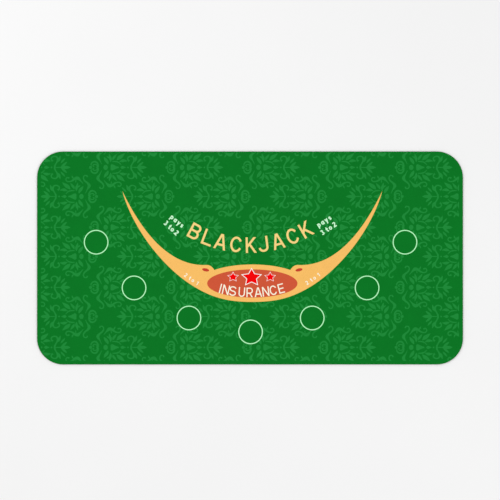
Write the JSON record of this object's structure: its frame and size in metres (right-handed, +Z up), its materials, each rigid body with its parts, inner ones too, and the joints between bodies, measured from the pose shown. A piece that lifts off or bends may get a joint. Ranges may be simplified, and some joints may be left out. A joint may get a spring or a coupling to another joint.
{
  "type": "blackjack layout mat",
  "caption": "Flexible roll-out blackjack layout: printed cloth bonded to a rubber base, with a crescent banner, side-bet oval and betting rings.",
  "frame": {"origin": "middle of the underside, on the surface that the mat lies on", "axes": "+X along the mat's length, to the right for a player; +Y across the mat towards the dealer; +Z up out of the printed face"},
  "size_m": [1.2, 0.6, 0.0035],
  "materials": {
    "rubber": "matte",
    "bond_film": "matte",
    "face_cloth": "matte",
    "gold_ink": "matte",
    "terracotta_ink": "matte",
    "white_ink": "matte",
    "cream_ink": "matte",
    "red_ink": "matte"
  },
  "bodies": {
    "root": {"rubber_base": "rubber", "bond_film": "bond_film", "face_cloth": "face_cloth", "crescent_banner": "gold_ink", "side_bet_oval": "terracotta_ink", "betting_ring_1": "white_ink", "betting_ring_2": "white_ink", "betting_ring_3": "white_ink", "betting_ring_4": "white_ink", "betting_ring_5": "white_ink", "betting_ring_6": "white_ink", "betting_ring_7": "white_ink", "game_name_1_B": "gold_ink", "game_name_2_L": "gold_ink", "game_name_3_A": "gold_ink", "game_name_4_C": "gold_ink", "game_name_5_K": "gold_ink", "game_name_6_J": "gold_ink", "game_name_7_A": "gold_ink", "game_name_8_C": "gold_ink", "game_name_9_K": "gold_ink", "pays_left_1_p": "white_ink", "pays_left_2_a": "white_ink", "pays_left_3_y": "white_ink", "pays_left_4_s": "white_ink", "pays_right_1_p": "white_ink", "pays_right_2_a": "white_ink", "pays_right_3_y": "white_ink", "pays_right_4_s": "white_ink", "side_bet_1_I": "white_ink", "side_bet_2_N": "white_ink", "side_bet_3_S": "white_ink", "side_bet_4_U": "white_ink", "side_bet_5_R": "white_ink", "side_bet_6_A": "white_ink", "side_bet_7_N": "white_ink", "side_bet_8_C": "white_ink", "side_bet_9_E": "white_ink", "star_left_fill": "red_ink", "star_left_outline": "white_ink", "star_middle_fill": "red_ink", "star_middle_outline": "white_ink", "star_right_fill": "red_ink", "star_right_outline": "white_ink", "three_to_two_left_1_3": "white_ink", "three_to_two_left_2_t": "white_ink", "three_to_two_left_3_o": "white_ink", "three_to_two_left_4_2": "white_ink", "three_to_two_right_1_3": "white_ink", "three_to_two_right_2_t": "white_ink", "three_to_two_right_3_o": "white_ink", "three_to_two_right_4_2": "white_ink", "two_to_one_left_1_2": "cream_ink", "two_to_one_left_2_t": "cream_ink", "two_to_one_left_3_o": "cream_ink", "two_to_one_left_4_1": "cream_ink", "two_to_one_right_1_2": "cream_ink", "two_to_one_right_2_t": "cream_ink", "two_to_one_right_3_o": "cream_ink", "two_to_one_right_4_1": "cream_ink"}
  },
  "joints": []
}
